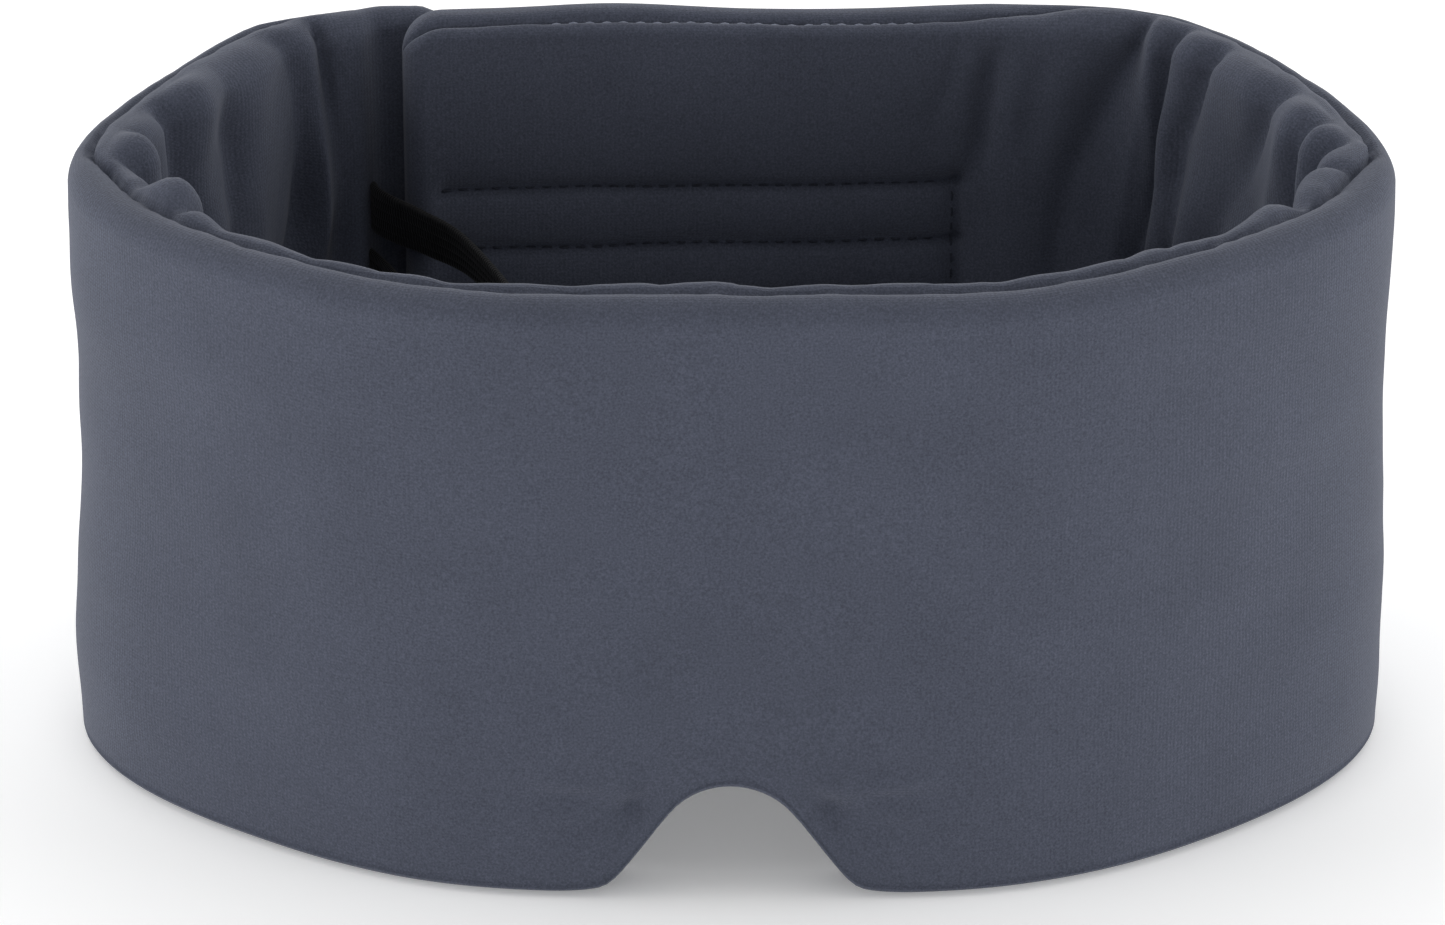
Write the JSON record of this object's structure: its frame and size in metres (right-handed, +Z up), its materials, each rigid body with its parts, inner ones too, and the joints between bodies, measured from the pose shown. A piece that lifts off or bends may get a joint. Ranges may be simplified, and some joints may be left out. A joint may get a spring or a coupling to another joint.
{
  "type": "sleep mask",
  "caption": "Padded wrap-around sleep mask in grey-blue jersey, with a nose notch, a lapped hook-and-loop closure at the back and a black elastic strap loop inside.",
  "frame": {"origin": "centre of the bounding box, on the plane of the lower rim the mask stands on", "axes": "+X across the mask, -Y out of the front that covers the eyes, +Z up from the lower rim"},
  "size_m": [0.2178, 0.1484, 0.102],
  "materials": {
    "jersey": "matte knit",
    "lining_jersey": "matte knit",
    "wadding": "fluffy",
    "hook_tape": "woven hook tape",
    "loop_tape": "brushed loop tape",
    "elastic": "ribbed elastic"
  },
  "bodies": {
    "front": {"front_outer_fabric": "jersey", "front_padding": "wadding", "front_lining": "lining_jersey"},
    "left_wing": {"left_wing_outer_fabric": "jersey", "left_wing_padding": "wadding", "left_wing_lining": "lining_jersey"},
    "closing_end": {"closing_end_outer_fabric": "jersey", "closing_end_padding": "wadding", "closing_end_lining": "lining_jersey", "loop_patch": "loop_tape"},
    "right_wing": {"right_wing_outer_fabric": "jersey", "right_wing_padding": "wadding", "right_wing_lining": "lining_jersey"},
    "back_panel": {"back_panel_outer_fabric": "jersey", "back_panel_padding": "wadding", "back_panel_lining": "lining_jersey", "hook_patch": "hook_tape"},
    "strap": {"elastic_strap": "elastic"}
  },
  "joints": [
    {"name": "left_wing_bend", "type": "hinge", "parent": "front", "child": "left_wing", "pos_m": [-0.1075, -0.01524, 0.051], "axis": [0, 0, 1], "range_deg": [0, 60]},
    {"name": "closing_end_peel", "type": "hinge", "parent": "left_wing", "child": "closing_end", "pos_m": [-0.0605, 0.06836, 0.051], "axis": [0, 0, 1], "range_deg": [0, 60]},
    {"name": "right_wing_bend", "type": "hinge", "parent": "front", "child": "right_wing", "pos_m": [0.1075, -0.01524, 0.051], "axis": [0, 0, -1], "range_deg": [0, 40]},
    {"name": "back_panel_bend", "type": "hinge", "parent": "right_wing", "child": "back_panel", "pos_m": [0.06827, 0.05322, 0.051], "axis": [0, 0, 1], "range_deg": [0, 64]},
    {"name": "strap_sway", "type": "hinge", "parent": "left_wing", "child": "strap", "pos_m": [-0.0628, 0.05534, 0.064], "axis": [0, 0, 1], "range_deg": [-15, 4]}
  ],
  "couplings": [
    {"joint": "back_panel_bend", "follows": "right_wing_bend", "ratio": 1.6}
  ]
}
